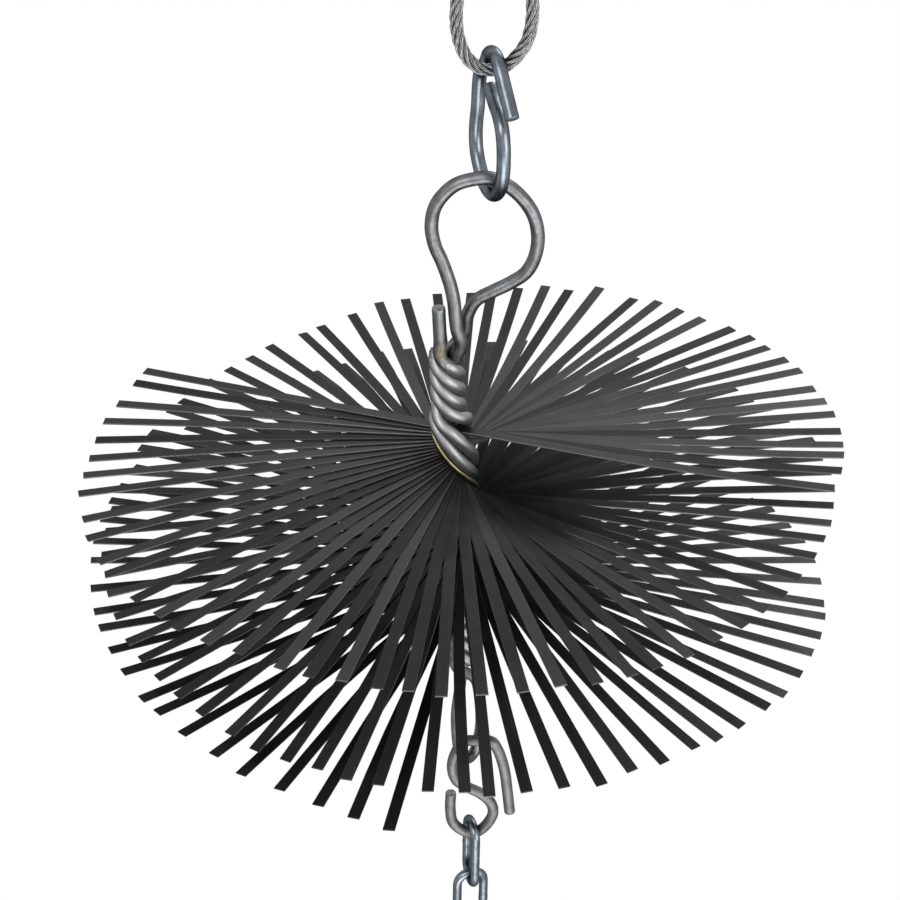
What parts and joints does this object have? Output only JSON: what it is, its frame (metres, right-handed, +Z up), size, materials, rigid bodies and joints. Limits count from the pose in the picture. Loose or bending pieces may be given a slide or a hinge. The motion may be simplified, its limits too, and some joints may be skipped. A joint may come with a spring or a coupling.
{
  "type": "chimney sweep brush",
  "caption": "Chimney sweep brush: flat steel strips fanned from a twisted wire core, hung by a closed hook from a wire rope eye, with an S-hook and long-link chain below.",
  "frame": {"origin": "inside the top of the rope's upper eye, where the hand line or hook bears and carries the brush", "axes": "+Z up along the hanging line, -Y towards the viewer of the picture, +X to its right"},
  "size_m": [0.3045, 0.3063, 0.6245],
  "materials": {
    "rope": "laid galvanised steel rope",
    "ferrule": "pressed, satin",
    "zinc": "bright zinc plated",
    "core_wire": "dull galvanised",
    "strip": "dark tempered spring steel",
    "packing": "drawn wire"
  },
  "bodies": {
    "rope_sling": {"rope": "rope", "ferrule_lower": "ferrule", "ferrule_upper": "ferrule"},
    "hook": {"top_hook": "zinc"},
    "brush": {"eye_wire": "core_wire", "lower_eye_wire": "core_wire", "packing_wire": "packing", "strip_pack_1": "strip", "strip_pack_2": "strip", "strip_pack_3": "strip", "strip_pack_4": "strip"},
    "lower_hook": {"s_hook": "core_wire"},
    "link_1": {"chain_link_1": "zinc"},
    "link_2": {"chain_link_2": "zinc"},
    "link_3": {"chain_link_3": "zinc"}
  },
  "joints": [
    {"name": "hook_swing", "type": "hinge", "parent": "rope_sling", "child": "hook", "pos_m": [0, 0, -0.1441], "axis": [1, 0, 0], "range_deg": [-40, 40]},
    {"name": "brush_swing", "type": "hinge", "parent": "hook", "child": "brush", "pos_m": [0, 0, -0.19371], "axis": [0.3746, -0.9272, 0], "range_deg": [-40, 40]},
    {"name": "lower_hook_swing", "type": "hinge", "parent": "brush", "child": "lower_hook", "pos_m": [-0.00365, 0, -0.46744], "axis": [0.9848, -0.1736, 0], "range_deg": [-3, 60]},
    {"name": "link_1_swing", "type": "hinge", "parent": "lower_hook", "child": "link_1", "pos_m": [-0.00198, -0.0003, -0.51784], "axis": [0.1736, 0.9848, 0], "range_deg": [-60, 60]},
    {"name": "link_2_swing", "type": "hinge", "parent": "link_1", "child": "link_2", "pos_m": [-0.00198, -0.0003, -0.54954], "axis": [0.9563, 0.2924, 0], "range_deg": [-60, 60]},
    {"name": "link_3_swing", "type": "hinge", "parent": "link_2", "child": "link_3", "pos_m": [-0.00198, -0.0003, -0.58124], "axis": [-0.2924, 0.9563, 0], "range_deg": [-60, 60]}
  ]
}
